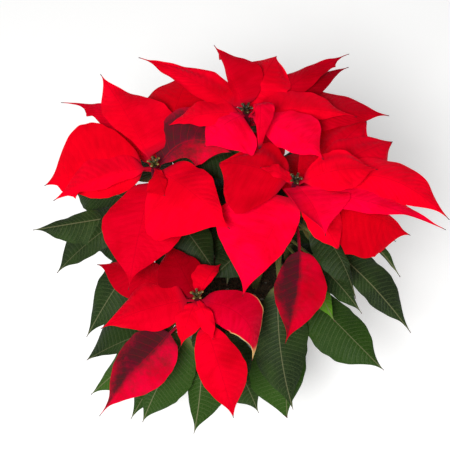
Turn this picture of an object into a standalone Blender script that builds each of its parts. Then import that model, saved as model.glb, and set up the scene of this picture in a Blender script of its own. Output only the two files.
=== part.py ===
"""Poinsettia in a black nursery pot: four leafy stems in soil, each ending in a head of red bracts.

Metres, +Z up. The origin is the centre of the pot's flat underside.
"""
import math
from collections import namedtuple

import bmesh
import bpy
from mathutils import Vector

MM = 0.001

# Pot, a round tapered 15 cm nursery pot
POT_HEIGHT = 130.0 * MM
POT_TOP_RADIUS = 75.0 * MM
POT_BASE_RADIUS = 54.0 * MM
POT_WALL = 1.8 * MM
RIM_BAND_HEIGHT = 14.0 * MM
RIM_PROUD = 2.2 * MM
DRAIN_HOLES = 8
DRAIN_RADIUS = 5.0 * MM
DRAIN_CIRCLE = 42.0 * MM
POT_CHAMFER = 2.5 * MM
POT_BASE = 2.2 * MM
RIM_ROUND = 0.7 * MM
POT_SIDES = 40
HOLE_SIDES = 12

# Soil, filling the pot to just under the rim
SOIL_TOP = 116.0 * MM
SOIL_RINGS = 6
SOIL_BUMP = 1.2 * MM
SOIL_WAVES = (0.21, 0.17, 0.13)
SOIL_EDGE = 0.99
STEM_DEPTH = 32.0 * MM

# Clearance between pieces that touch, and the distance under which two points are one
GAP = 0.3 * MM
MERGE = 0.001 * MM

# Stems, from a woody foot to the green tip that carries the bracts
STEM_FOOT_RADIUS = 5.2 * MM
STEM_TIP_RADIUS = 3.4 * MM
STEM_SIDES = 8
STEM_RINGS = 9

# Blades: bracts and leaves
EDGE_THICKNESS = 0.8 * MM
RIB_THICKNESS = 1.8 * MM
PETIOLE_HALF_WIDTH = 1.4 * MM
# The share along a blade where its fold and waves are fully grown, and the share before the tip where they end
FOLD_START = 0.2
WAVE_END = 0.25
# Waves along an edge, how far the two edges' waves are out of step, and how full a blade's outline is
WAVES = 2.3
WAVE_SHIFT = 0.35
FULLNESS = 0.6
# How far along the blade each row of points lies, and the points across it (0 is the midrib, 1 an edge)
ROWS = (
    (0.00, (-1, 0, 1)),
    (0.09, (-1, 0, 1)),
    (0.24, (-1, -0.5, 0, 0.5, 1)),
    (0.42, (-1, -0.5, 0, 0.5, 1)),
    (0.60, (-1, -0.5, 0, 0.5, 1)),
    (0.77, (-1, -0.5, 0, 0.5, 1)),
    (0.90, (-1, 0, 1)),
    (1.00, (0,)),
)

# Florets in the middle of each head, on a short stalk
FLORETS = 5
FLORET_RADIUS = 1.95 * MM
FLORET_HEIGHT = 5.5 * MM
FLORET_RING = 3.0 * MM
FLORET_TAPER = 0.25
FLORET_LEAN = 0.5
FLORET_LIFT = 0.35
MIDDLE_FLORET_LIFT = 1.3
RING_FLORET_SIZE = 0.82
RING_FLORET_CHANGE = 0.12
FLORET_STALK = 5.0 * MM
FLORET_STALK_RADIUS = 2.0 * MM
FLORET_SIDES = 6
FLORET_RINGS = 4

# Colours, linear
POT_COLOUR = (0.012, 0.012, 0.013)
SOIL_COLOUR = (0.035, 0.022, 0.014)
LEAF_COLOUR = (0.018, 0.062, 0.014)
BRACT_COLOUR = (0.75, 0.004, 0.012)
FLORET_COLOUR = (0.35, 0.38, 0.04)

# Roughness of each material
POT_ROUGHNESS = 0.42
SOIL_ROUGHNESS = 0.95
LEAF_ROUGHNESS = 0.45
BRACT_ROUGHNESS = 0.5
FLORET_ROUGHNESS = 0.45

# Edges sharper than this are shaded sharp, in degrees
SHARP_ANGLE = 40.0

# Sizes of a blade in millimetres and degrees. azimuth, reach and rise take its root to its tip. left and
# right are the half widths seen from root to tip, belly the place of the greatest width, drip how far the
# tip is drawn out. low is the root's depth under the stem's top. arch bows the midrib up, sway to its
# left, and lean moves the bow to the root. roll lifts the left half, twist adds to it from root to tip.
# fold is the fall of each half from the midrib and curl what the edge adds to it. Two numbers are for
# the left and the right half.
Blade = namedtuple(
    "Blade",
    "name azimuth reach rise left right low belly drip arch lean sway roll twist fold curl wave petiole",
    defaults=(5, 0.4, 0.75, 12, 0.0, 0, 0, 0, 12, 10, 1.6, 0.1),
)

# A stem: where it leaves the soil, the top of its hub, and the hub's length
Stem = namedtuple("Stem", "foot top hub")

STEMS = {
    "left": Stem(foot=(-32, 4), top=(-66, 6, 335), hub=34),
    "top": Stem(foot=(12, 32), top=(20, 49, 360), hub=34),
    "right": Stem(foot=(34, -8), top=(64, -22, 350), hub=44),
    "front": Stem(foot=(-10, -34), top=(-26, -101, 275), hub=34),
}

BRACTS = {
    "left": (
        Blade("left_1", 119, 113, 15, 21, 42, low=5, belly=(0.6, 0.3), drip=(1.4, 1.7), fold=(30, 6)),
        Blade("left_2", 185, 105, -12, 26, 54, low=8, belly=(0.4, 0.5), roll=-22),
        Blade("left_3", 199, 98, -7, 10, 30, low=3, fold=(40, 8)),
        Blade("left_4", 135, 140, -15, 14, 15, low=20, drip=1.1, sway=-18),
        Blade("left_5", 316, 98, 4, 31, 55, low=4, belly=(0.28, 0.44)),
        Blade("left_6", 288, 37, 8, 6, 15, low=4, belly=(0.5, 0.7), drip=(0.5, 0.1), arch=8, petiole=0.2),
        Blade("left_7", 258, 109, -33, 40, 40, low=12, belly=(0.38, 0.44), drip=1.3),
        Blade("left_8", 14, 74, 10, 36, 31, low=14, belly=(0.5, 0.62), drip=0.5, arch=18, sway=14,
              roll=15, fold=(6, 52)),
        Blade("left_9", 75, 123, 8, 34, 30, low=18, belly=0.6, drip=0.2),
    ),
    "top": (
        Blade("top_1", 145, 127, -4, 12, 23, low=6, belly=(0.36, 0.24), drip=(1.0, 1.5)),
        Blade("top_2", 112, 82, 11, 12, 32, low=6, belly=(0.24, 0.4), drip=1.6, fold=(70, 8)),
        Blade("top_3", 68, 81, 2, 30, 28, low=12, belly=(0.66, 0.52)),
        Blade("top_4", 41, 137, -9, 17, 12, low=16, belly=(0.27, 0.4), drip=1.1),
        Blade("top_5", 38, 131, -13, 14, 16, low=22),
        Blade("top_6", 5, 106, -15, 27, 12, low=5, drip=1.2, fold=(8, 50)),
        Blade("top_7", 324, 86, 1, 32, 17, low=4, belly=(0.6, 0.5), fold=(5, 40)),
        Blade("top_8", 186, 74, -6, 12, 20, low=4, arch=11),
        Blade("top_9", 219, 50, -6, 38, 20, low=4, belly=(0.3, 0.5), drip=0.3),
        Blade("top_10", 284, 45, 14, 14, 5, low=10, arch=33, lean=-0.5, belly=0.66, drip=-0.2, sway=8),
        Blade("top_11", 9, 141, -14, 37, 16, low=22, belly=0.45),
        Blade("top_12", 302, 56, -16, 24, 20, low=28, belly=0.5),
    ),
    "right": (
        Blade("right_1", 347, 142, -20, 20, 13, low=10, belly=(0.42, 0.22), drip=(1.5, 2.4)),
        Blade("right_2", 349, 143, -5, 28, 19, low=15, sway=25, belly=0.55),
        Blade("right_3", 11, 77, 4, 28, 20, low=4, belly=0.5),
        Blade("right_4", 296, 58, -1, 42, 24, low=4, belly=(0.48, 0.3), fold=(12, -10), curl=(10, -50)),
        Blade("right_5", 348, 113, -30, 16, 42, low=25, belly=0.55),
        Blade("right_6", 156, 76, -10, 47, 38, low=5, belly=(0.46, 0.45), drip=(0.2, 0.75)),
        Blade("right_7", 33, 115, -5, 34, 28, low=20, belly=0.6, drip=0.3),
        Blade("right_8", 308, 64, -12, 22, 14, low=22, belly=0.55, drip=0.1),
        Blade("right_9", 242, 102, -40, 20, 60, low=10, belly=(0.3, 0.36)),
        Blade("right_10", 50, 113, -3, 34, 26, low=22, belly=0.55, drip=0.1, arch=8),
        Blade("right_11", 266, 115, -60, 28, 23, low=40, belly=0.42, drip=1.2, sway=9, arch=18,
              petiole=0.33),
        Blade("right_12", 106, 62, -12, 10, 22, low=40, belly=0.5),
        Blade("right_13", 83, 70, -10, 22, 22, low=38, belly=0.55, drip=0.3, arch=7),
        Blade("right_14", 160, 34, 12, 5, 9, low=4, belly=0.5, drip=0.3, arch=6),
    ),
    "front": (
        Blade("front_1", 194, 93, -16, 22, 34, low=4, belly=0.34, drip=1.0),
        Blade("front_2", 153, 111, -18, 24, 24, low=12, belly=0.5),
        Blade("front_3", 118, 66, 14, 26, 20, low=14),
        Blade("front_4", 60, 44, 3, 23, 5, low=8, belly=(0.5, 0.6)),
        Blade("front_5", 321, 67, -45, 28, 19, low=5, belly=(0.45, 0.35), arch=22, sway=14, petiole=0.04),
        Blade("front_6", 289, 104, -44, 27, 21, low=8, belly=(0.52, 0.44), drip=0.6, petiole=0.2),
        Blade("front_7", 251, 45, -11, 14, 13, low=4),
        Blade("front_8", 223, 128, -58, 28, 31, low=20, belly=(0.33, 0.36), drip=1.4, petiole=0.25),
        Blade("front_9", 291, 42, -4, 8, 9, low=3, belly=0.5, drip=0.3, arch=8, petiole=0.05),
    ),
}

LEAVES = {
    "left": (
        Blade("leaf_1", 188, 131, -10, 24, 14, low=78, belly=0.4, arch=9, sway=5, petiole=0.25),
        Blade("leaf_2", 207.5, 116, -58, 15, 37, low=55, belly=(0.4, 0.5), petiole=0.22),
        Blade("leaf_3", 230, 130, -70, 26, 24, low=95, petiole=0.25),
        Blade("leaf_4", 308, 93, -25, 22, 22, low=52, arch=6, petiole=0.2),
        Blade("leaf_5", 150, 120, -55, 28, 28, low=85, petiole=0.25),
        Blade("leaf_6", 105, 110, -45, 26, 26, low=70, petiole=0.25),
        Blade("leaf_7", 285, 95, -25, 24, 24, low=88, petiole=0.2),
        Blade("leaf_8", 172, 96, -48, 25, 25, low=140, petiole=0.28),
        Blade("leaf_9", 22, 82, -4, 34, 26, low=82, belly=(0.52, 0.4), drip=(0.4, 0.75), petiole=0.15),
    ),
    "top": (
        Blade("leaf_10", 262, 110, -10, 24, 24, low=120, petiole=0.25),
        Blade("leaf_11", 72, 120, -60, 28, 28, low=55, petiole=0.1),
        Blade("leaf_12", 55, 118, -55, 28, 28, low=80, petiole=0.25),
        Blade("leaf_13", 138, 118, -60, 28, 28, low=95, petiole=0.25),
        Blade("leaf_14", 18, 120, -70, 28, 28, low=110, petiole=0.25),
        Blade("leaf_15", 205, 66, -2, 24, 24, low=62, petiole=0.1),
        Blade("leaf_16", 320, 80, -15, 24, 24, low=95, petiole=0.25),
        Blade("leaf_17", 75, 96, -45, 25, 25, low=150, petiole=0.28),
    ),
    "right": (
        Blade("leaf_18", 275, 147, -100, 24, 38, low=130, belly=(0.5, 0.66), drip=(0.75, 0.3), petiole=0.3),
        Blade("leaf_19", 274, 147, -96, 31, 27, low=100, belly=(0.4, 0.5), drip=(0.75, 0.7),
              sway=-11, petiole=0.28),
        Blade("leaf_20", 312, 165, -15, 25, 32, low=150, sway=-5, belly=0.5, petiole=0.3),
        Blade("leaf_21", 319.5, 150, -49, 27, 14, low=65, belly=(0.45, 0.5), drip=(0.75, 1.2),
              sway=3, petiole=0.28),
        Blade("leaf_22", 329, 117, -15, 12, 4, low=55, sway=12, petiole=0.25),
        Blade("leaf_23", 303, 95, -25, 16, 16, low=110, petiole=0.25),
        Blade("leaf_24", 301, 106, -6, 7, 20, low=47, arch=10, sway=8, petiole=0.25),
        Blade("leaf_25", 319, 103, -40, 14, 14, low=100, petiole=0.3),
        Blade("leaf_26", 10, 120, -60, 28, 28, low=90, petiole=0.12),
        Blade("leaf_27", 215, 95, -20, 24, 24, low=72, petiole=0.25),
        Blade("leaf_28", 42, 96, -15, 25, 25, low=165, petiole=0.25),
        Blade("leaf_29", 86, 92, -6, 24, 24, low=72, petiole=0.2),
        Blade("leaf_30", 330, 70, -10, 20, 20, low=130, petiole=0.15),
    ),
    "front": (
        Blade("leaf_31", 192, 118, -48, 12, 46, low=60, belly=(0.4, 0.64), petiole=0.2),
        Blade("leaf_32", 206, 129, -70, 28, 22, low=75, petiole=0.22),
        Blade("leaf_33", 229, 121, -70, 16, 30, low=95, petiole=0.25),
        Blade("leaf_34", 232, 94, -90, 28, 26, low=50, petiole=0.15),
        Blade("leaf_35", 265, 97, -70, 32, 14, low=70, sway=4, petiole=0.2),
        Blade("leaf_36", 304, 97, -75, 24, 30, low=90, belly=(0.4, 0.5), drip=(0.75, 1.0), petiole=0.2),
        Blade("leaf_37", 296, 39, -25, 18, 18, low=38, petiole=0.15),
    ),
}


def smooth(value):
    """Ease from 0 to 1 with level ends."""
    value = min(max(value, 0.0), 1.0)
    return value * value * (3.0 - 2.0 * value)


def stem_point(stem, height):
    """The middle of a stem at a height: upright in the soil, leaning out, upright again at its tip."""
    top = Vector(stem.top) * MM
    foot = Vector((stem.foot[0] * MM, stem.foot[1] * MM, 0.0))
    share = smooth((height - SOIL_TOP) / (top.z - stem.hub * MM - SOIL_TOP))
    return Vector((foot.x + (top.x - foot.x) * share, foot.y + (top.y - foot.y) * share, height))


def pair(value):
    """A setting for the left and the right half, given once or as two numbers."""
    return value if isinstance(value, tuple) else (value, value)


def width_share(along, belly, drip):
    """The outline of a blade: round at its base, widest at the belly, drawn out to a point."""
    if along <= 0.0 or along >= 1.0:
        return 0.0
    bend = math.log(0.5) / math.log(belly)
    return math.sin(math.pi * along ** bend) ** (FULLNESS + drip * along)


def rib_frame(blade, root, t):
    """A point of the midrib, with the directions across the blade to its left and out of its face."""
    turn = math.radians(blade.azimuth)
    out = Vector((math.cos(turn), math.sin(turn), 0.0))
    side = Vector((-out.y, out.x, 0.0))
    chord = out * blade.reach * MM + Vector((0.0, 0.0, blade.rise * MM))
    bow = chord.normalized().cross(side) * blade.arch * MM * 4.0 / 3.0
    sway = side * blade.sway * MM * 4.0 / 3.0
    first = chord / 3.0 + bow * (1.0 + blade.lean) + sway
    second = chord * 2.0 / 3.0 + bow * (1.0 - blade.lean) + sway
    rest = 1.0 - t
    point = root + first * 3.0 * rest * rest * t + second * 3.0 * rest * t * t + chord * t ** 3
    along = first * rest * rest + (second - first) * 2.0 * rest * t + (chord - second) * t * t
    along.normalize()
    side = (side - along * side.dot(along)).normalized()
    face = along.cross(side)
    roll = math.radians(blade.roll + blade.twist * t)
    return point, side * math.cos(roll) + face * math.sin(roll), face * math.cos(roll) - side * math.sin(roll)


def arc(fold, curl, share):
    """How far out and down a strip runs that starts at the angle fold and turns by curl to its edge."""
    if abs(curl) < 1e-4:
        return math.cos(fold) * share, math.sin(fold) * share
    end = fold + curl * share
    return (math.sin(end) - math.sin(fold)) / curl, (math.cos(fold) - math.cos(end)) / curl


def blade_point(blade, root, along, across):
    """A point in the middle of the blade's thickness, and the direction out of its upper face."""
    t = blade.petiole + (1.0 - blade.petiole) * along
    rib, side, face = rib_frame(blade, root, t)
    half = 0 if across > 0 else 1
    width = (blade.left, blade.right)[half] * MM
    width *= width_share(along, pair(blade.belly)[half], pair(blade.drip)[half])
    reach = max(width, PETIOLE_HALF_WIDTH)
    if along >= 1.0:
        reach = 0.0
    grown = smooth(along / FOLD_START)
    fold = math.radians(pair(blade.fold)[half]) * grown
    curl = math.radians(pair(blade.curl)[half])
    share = abs(across)
    out, down = arc(fold, curl, share)
    sign = 1.0 if across > 0 else -1.0
    ripple = math.sin(2.0 * math.pi * (WAVES * along + WAVE_SHIFT * half) + blade.azimuth)
    lift = blade.wave * MM * share * share * ripple * grown * smooth((1.0 - along) / WAVE_END)
    tilt = fold + curl * share
    point = rib + side * sign * reach * out - face * reach * down + face * lift
    if share == 0.0:
        return point, face
    return point, (face * math.cos(tilt) + side * sign * math.sin(tilt)).normalized()


def petiole_row(blade, root):
    """The blade's first row, at the middle of the stem that carries it."""
    rib, side, face = rib_frame(blade, root, 0.0)
    return [(rib + side * PETIOLE_HALF_WIDTH * across, face) for across in (-1, 0, 1)]


def zip_rows(first, second):
    """Triangles between two rows of numbered points, each a list of (number, place across)."""
    triangles = []
    i, j = 0, 0
    while i < len(first) - 1 or j < len(second) - 1:
        ahead = first[i + 1][1] if i < len(first) - 1 else math.inf
        beside = second[j + 1][1] if j < len(second) - 1 else math.inf
        if ahead < beside or (ahead == beside and i <= j and i < len(first) - 1):
            triangles.append((first[i][0], first[i + 1][0], second[j][0]))
            i += 1
        else:
            triangles.append((first[i][0], second[j + 1][0], second[j][0]))
            j += 1
    return triangles


def blade_mesh(blade, root):
    """Points and triangles of one closed blade, split alike on its upper and its lower face."""
    places = [[-1, 0, 1]] + [list(across) for _, across in ROWS]
    sheet = [petiole_row(blade, root)]
    for along, across in ROWS:
        sheet.append([blade_point(blade, root, along, place) for place in across])
    upper, lower, numbered = [], [], []
    for row, across in zip(sheet, places):
        names = []
        for (point, normal), place in zip(row, across):
            thick = RIB_THICKNESS if place == 0 and len(row) > 1 else EDGE_THICKNESS
            names.append((len(upper), place))
            upper.append(point + normal * EDGE_THICKNESS * 0.5)
            lower.append(point - normal * (thick - EDGE_THICKNESS * 0.5))
        numbered.append(names)
    total = len(upper)
    faces = []
    for first, second in zip(numbered, numbered[1:]):
        for a, b, c in zip_rows(first, second):
            faces.append((a, c, b))
            faces.append((a + total, b + total, c + total))
    rim = [row[-1][0] for row in numbered] + [row[0][0] for row in reversed(numbered[:-1])]
    rim.append(numbered[0][1][0])
    for a, b in zip(rim, rim[1:] + rim[:1]):
        faces.append((a, b, b + total))
        faces.append((a, b + total, a + total))
    return [tuple(point) for point in upper + lower], faces


def hub_root(stem, blade):
    """Where a bract's midrib starts, on the axis of the stem's tip."""
    return Vector((stem.top[0], stem.top[1], stem.top[2] - blade.low)) * MM


def leaf_root(stem, blade):
    """Where a leaf's midrib starts, in the middle of its stem."""
    return stem_point(stem, (stem.top[2] - blade.low) * MM)


def tube_mesh(path, radii, sides):
    """A closed tube of flat-sided rings, each ring level, along a path that climbs."""
    points, faces = [], []
    for centre, radius in zip(path, radii):
        for step in range(sides):
            turn = 2.0 * math.pi * step / sides
            points.append((centre.x + radius * math.cos(turn), centre.y + radius * math.sin(turn), centre.z))
    for ring in range(len(path) - 1):
        for step in range(sides):
            a = ring * sides + step
            b = ring * sides + (step + 1) % sides
            faces.append((a, b, b + sides, a + sides))
    last = (len(path) - 1) * sides
    faces.append(tuple(reversed(range(sides))))
    faces.append(tuple(last + step for step in range(sides)))
    return points, faces


def hub_mesh(stem):
    """The red tip of a stem, which the bracts grow from."""
    top = Vector(stem.top) * MM
    path = [top - Vector((0.0, 0.0, drop * MM)) for drop in (stem.hub, 0.0)]
    return tube_mesh(path, (STEM_TIP_RADIUS, STEM_TIP_RADIUS), STEM_SIDES)


def stem_mesh(stem):
    """The green part of a stem, from the bottom of its hole in the soil to just under its hub."""
    low = SOIL_TOP - STEM_DEPTH
    high = (stem.top[2] - stem.hub) * MM - GAP
    path, radii = [], []
    for ring in range(STEM_RINGS):
        share = ring / (STEM_RINGS - 1)
        path.append(stem_point(stem, low + (high - low) * share))
        radii.append(STEM_FOOT_RADIUS + (STEM_TIP_RADIUS - STEM_FOOT_RADIUS) * share)
    return tube_mesh(path, radii, STEM_SIDES)


def floret_mesh(centre, lean, size):
    """One floret: a small egg-shaped cup that leans away from the middle."""
    work = bmesh.new()
    bmesh.ops.create_uvsphere(work, u_segments=FLORET_SIDES, v_segments=FLORET_RINGS, radius=1.0)
    for vert in work.verts:
        x, y, z = vert.co
        widen = 1.0 - FLORET_TAPER * z
        up = z * FLORET_HEIGHT * 0.5 * size
        out = FLORET_RADIUS * widen * size
        vert.co = centre + Vector((x * out, y * out, up)) + lean * up
    work.verts.index_update()
    points = [tuple(vert.co) for vert in work.verts]
    faces = [tuple(vert.index for vert in face.verts) for face in work.faces]
    work.free()
    return points, faces


def floret_meshes(stem):
    """The stalk and the florets that stand on the top of a hub."""
    top = Vector(stem.top) * MM
    base = top + Vector((0.0, 0.0, GAP))
    crown = top + Vector((0.0, 0.0, FLORET_STALK))
    pieces = [tube_mesh((base, crown), (FLORET_STALK_RADIUS, FLORET_STALK_RADIUS), STEM_SIDES)]
    lift = Vector((0.0, 0.0, FLORET_HEIGHT * FLORET_LIFT))
    pieces.append(floret_mesh(crown + lift * MIDDLE_FLORET_LIFT, Vector((0.0, 0.0, 0.0)), 1.0))
    for step in range(FLORETS):
        turn = 2.0 * math.pi * step / FLORETS + stem.top[0]
        out = Vector((math.cos(turn), math.sin(turn), 0.0))
        size = RING_FLORET_SIZE + RING_FLORET_CHANGE * math.sin(3.0 * turn)
        pieces.append(floret_mesh(crown + out * FLORET_RING + lift, out * FLORET_LEAN, size))
    return pieces


def material(name, colour, roughness):
    """A plain Principled material."""
    made = bpy.data.materials.new(name)
    made.use_nodes = True
    shader = made.node_tree.nodes["Principled BSDF"]
    shader.inputs["Base Color"].default_value = (*colour, 1.0)
    shader.inputs["Roughness"].default_value = roughness
    shader.inputs["Metallic"].default_value = 0.0
    made.diffuse_color = (*colour, 1.0)
    return made


def add_object(name, shape, origin, collection):
    """An object whose mesh is placed round its own origin."""
    points, faces = shape
    mesh = bpy.data.meshes.new(name)
    mesh.from_pydata([Vector(point) - origin for point in points], [], faces)
    made = bpy.data.objects.new(name, mesh)
    made.location = origin
    collection.objects.link(made)
    return made


def keep_main_body(mesh):
    """Drop the loose scraps and sealed hollows that a union can leave."""
    work = bmesh.new()
    work.from_mesh(mesh)
    bmesh.ops.remove_doubles(work, verts=work.verts, dist=MERGE)
    bmesh.ops.dissolve_degenerate(work, edges=work.edges, dist=MERGE)
    bmesh.ops.triangulate(work, faces=work.faces)
    left = set(work.faces)
    bodies = []
    while left:
        body, edge = set(), [left.pop()]
        while edge:
            face = edge.pop()
            body.add(face)
            near = {other for side in face.edges for other in side.link_faces}
            edge.extend(near & left)
            left -= near
        bodies.append(body)
    main = max(bodies, key=len)
    bmesh.ops.delete(work, geom=[face for face in work.faces if face not in main], context="FACES")
    work.to_mesh(mesh)
    work.free()


def join_pieces(name, pieces, origin, finish, parent):
    """One closed body from pieces that overlap, by one union on a collection."""
    scene = bpy.context.scene.collection
    extra = bpy.data.collections.new(name + "_pieces")
    scene.children.link(extra)
    made = add_object(name, pieces[0], origin, scene)
    for number, piece in enumerate(pieces[1:]):
        add_object(f"{name}_{number}", piece, origin, extra)
    union = made.modifiers.new("join", "BOOLEAN")
    union.operation = "UNION"
    union.operand_type = "COLLECTION"
    union.collection = extra
    union.solver = "EXACT"
    seen = made.evaluated_get(bpy.context.evaluated_depsgraph_get())
    joined = bpy.data.meshes.new_from_object(seen)
    made.modifiers.clear()
    made.data = joined
    for piece in list(extra.objects):
        bpy.data.objects.remove(piece)
    bpy.data.collections.remove(extra)
    keep_main_body(made.data)
    finish_object(made, finish, parent)
    return made


def finish_object(made, finish, parent):
    """Give an object its material, smooth its gentle edges and hang it from its parent."""
    made.data.materials.clear()
    made.data.materials.append(finish)
    made.data.shade_smooth()
    made.data.set_sharp_from_angle(angle=math.radians(SHARP_ANGLE))
    made.parent = parent


def pot_radius(height):
    """The outer radius of the pot's wall, without its rim band."""
    top = POT_TOP_RADIUS - RIM_PROUD
    return POT_BASE_RADIUS + (top - POT_BASE_RADIUS) * height / POT_HEIGHT


def spun_mesh(profile, sides):
    """A closed body turned round the Z axis from (radius, height) points that start and end on it."""
    work = bmesh.new()
    verts = [work.verts.new((radius, 0.0, height)) for radius, height in profile]
    edges = [work.edges.new(ends) for ends in zip(verts, verts[1:])]
    bmesh.ops.spin(work, geom=verts + edges, cent=(0, 0, 0), axis=(0, 0, 1), dvec=(0, 0, 0),
                   angle=2.0 * math.pi, steps=sides, use_merge=True)
    bmesh.ops.remove_doubles(work, verts=work.verts, dist=MERGE)
    bmesh.ops.recalc_face_normals(work, faces=work.faces)
    work.verts.index_update()
    points = [tuple(vert.co) for vert in work.verts]
    faces = [tuple(vert.index for vert in face.verts) for face in work.faces]
    work.free()
    return points, faces


def cut(made, cutters):
    """Cut round holes, each given as a centre, a radius, a bottom and a top."""
    extra = bpy.data.collections.new(made.name + "_holes")
    bpy.context.scene.collection.children.link(extra)
    for number, (centre, radius, low, high) in enumerate(cutters):
        path = [Vector((centre[0], centre[1], low)), Vector((centre[0], centre[1], high))]
        hole = add_object(f"{made.name}_hole_{number}", tube_mesh(path, (radius, radius), HOLE_SIDES),
                          Vector((0.0, 0.0, 0.0)), extra)
        hole.hide_render = True
        hole.display_type = "WIRE"
    drill = made.modifiers.new("holes", "BOOLEAN")
    drill.operation = "DIFFERENCE"
    drill.operand_type = "COLLECTION"
    drill.collection = extra
    drill.solver = "EXACT"


def make_pot(parent):
    """The pot: a tapered wall, a proud rim band and a flat base with drain holes."""
    band = POT_HEIGHT - RIM_BAND_HEIGHT
    inner_top = POT_TOP_RADIUS - RIM_PROUD - POT_WALL
    profile = [
        (0.0, 0.0),
        (POT_BASE_RADIUS - POT_CHAMFER, 0.0),
        (pot_radius(POT_CHAMFER), POT_CHAMFER),
        (pot_radius(band), band),
        (POT_TOP_RADIUS, band + RIM_PROUD),
        (POT_TOP_RADIUS, POT_HEIGHT - RIM_ROUND),
        (POT_TOP_RADIUS - RIM_ROUND, POT_HEIGHT),
        (inner_top + RIM_ROUND, POT_HEIGHT),
        (inner_top, POT_HEIGHT - RIM_ROUND),
        (pot_radius(POT_BASE) - POT_WALL, POT_BASE),
        (0.0, POT_BASE),
    ]
    pot = add_object("pot", spun_mesh(profile, POT_SIDES), Vector((0.0, 0.0, 0.0)),
                     bpy.context.scene.collection)
    holes = []
    for step in range(DRAIN_HOLES):
        turn = 2.0 * math.pi * (step + 0.5) / DRAIN_HOLES
        centre = (DRAIN_CIRCLE * math.cos(turn), DRAIN_CIRCLE * math.sin(turn))
        holes.append((centre, DRAIN_RADIUS, -POT_BASE, 2.0 * POT_BASE))
    cut(pot, holes)
    finish_object(pot, material("pot_plastic", POT_COLOUR, POT_ROUGHNESS), parent)
    return pot


def make_soil(parent):
    """The soil: a plug that fills the pot, lumpy on top, with a plain hole for each stem."""
    low = POT_BASE + GAP
    bottom = pot_radius(low) - POT_WALL - GAP
    top = pot_radius(SOIL_TOP) - POT_WALL - GAP
    profile = [(0.0, low), (bottom, low), (top, SOIL_TOP)]
    for ring in range(SOIL_RINGS - 1, -1, -1):
        profile.append((top * ring / SOIL_RINGS, SOIL_TOP))
    points, faces = spun_mesh(profile, POT_SIDES)
    first, second, third = SOIL_WAVES
    lumpy = []
    for x, y, z in points:
        spread = math.hypot(x, y) / top
        if z >= SOIL_TOP - MERGE and spread < SOIL_EDGE:
            lump = math.sin(x / MM * first) * math.cos(y / MM * second) + math.sin((x + 2.0 * y) / MM * third)
            z += SOIL_BUMP * lump * (1.0 - spread ** 4)
        lumpy.append((x, y, z))
    soil = add_object("soil", (lumpy, faces), Vector((0.0, 0.0, 0.0)), bpy.context.scene.collection)
    work = bmesh.new()
    work.from_mesh(soil.data)
    bmesh.ops.triangulate(work, faces=work.faces)
    work.to_mesh(soil.data)
    work.free()
    radius = (STEM_FOOT_RADIUS + GAP) / math.cos(math.pi / HOLE_SIDES)
    floor = SOIL_TOP - STEM_DEPTH - GAP
    holes = []
    for stem in STEMS.values():
        centre = (stem.foot[0] * MM, stem.foot[1] * MM)
        holes.append((centre, radius, floor, POT_HEIGHT))
    cut(soil, holes)
    finish_object(soil, material("soil", SOIL_COLOUR, SOIL_ROUGHNESS), parent)
    return soil


def make_plant(parent):
    """The four stems with their leaves, the heads of bracts and the florets in their middles."""
    green = material("leaf_green", LEAF_COLOUR, LEAF_ROUGHNESS)
    red = material("bract_red", BRACT_COLOUR, BRACT_ROUGHNESS)
    yellow = material("floret_green", FLORET_COLOUR, FLORET_ROUGHNESS)
    for side, stem in STEMS.items():
        top = Vector(stem.top) * MM
        leaves = [stem_mesh(stem)] + [blade_mesh(leaf, leaf_root(stem, leaf)) for leaf in LEAVES[side]]
        join_pieces("leaves_" + side, leaves, Vector((top.x, top.y, SOIL_TOP)), green, parent)
        bracts = [hub_mesh(stem)] + [blade_mesh(bract, hub_root(stem, bract)) for bract in BRACTS[side]]
        join_pieces("bracts_" + side, bracts, top, red, parent)
        join_pieces("florets_" + side, floret_meshes(stem), top, yellow, parent)


def main():
    """Build the whole plant in its pot."""
    for old in list(bpy.data.objects):
        bpy.data.objects.remove(old)
    root = bpy.data.objects.new("poinsettia", None)
    bpy.context.scene.collection.objects.link(root)
    make_pot(root)
    make_soil(root)
    make_plant(root)


if __name__ == "__main__":
    main()
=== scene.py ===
"""Finished look of a red poinsettia in a black nursery pot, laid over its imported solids.

Each bract, leaf, stem, floret and soil crumb is a fine mesh in the place of its solid. Metres, +Z up.
"""
import math
from collections import namedtuple
from functools import partial, reduce

import bmesh
import bpy
import numpy as np
from bpy.props import FloatProperty, FloatVectorProperty, IntProperty, PointerProperty
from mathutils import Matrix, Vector, noise


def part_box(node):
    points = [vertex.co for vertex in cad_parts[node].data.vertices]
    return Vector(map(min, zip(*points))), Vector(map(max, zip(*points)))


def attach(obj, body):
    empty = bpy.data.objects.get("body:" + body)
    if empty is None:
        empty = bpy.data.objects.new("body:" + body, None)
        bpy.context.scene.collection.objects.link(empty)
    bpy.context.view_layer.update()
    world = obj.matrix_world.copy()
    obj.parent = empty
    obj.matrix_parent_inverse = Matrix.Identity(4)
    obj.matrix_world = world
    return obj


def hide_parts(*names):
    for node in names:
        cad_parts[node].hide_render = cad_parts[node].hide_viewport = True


bl_info = {
    "name": "Potted poinsettia",
    "version": (1, 0, 0),
    "blender": (4, 5, 0),
    "location": "View3D > Sidebar > Poinsettia",
    "description": "Bracts, leaves, florets, soil and pot of a red poinsettia, with a plain studio",
    "category": "Add Mesh",
}

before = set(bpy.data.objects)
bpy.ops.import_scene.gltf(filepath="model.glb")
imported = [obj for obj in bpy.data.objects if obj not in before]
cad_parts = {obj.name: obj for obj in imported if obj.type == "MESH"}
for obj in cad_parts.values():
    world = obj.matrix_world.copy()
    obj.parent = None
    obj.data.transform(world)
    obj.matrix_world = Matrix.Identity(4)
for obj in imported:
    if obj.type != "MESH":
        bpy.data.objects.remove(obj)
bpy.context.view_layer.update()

MM = 0.001
TURN = 2.0 * math.pi
UP = Vector((0.0, 0.0, 1.0))

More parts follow.
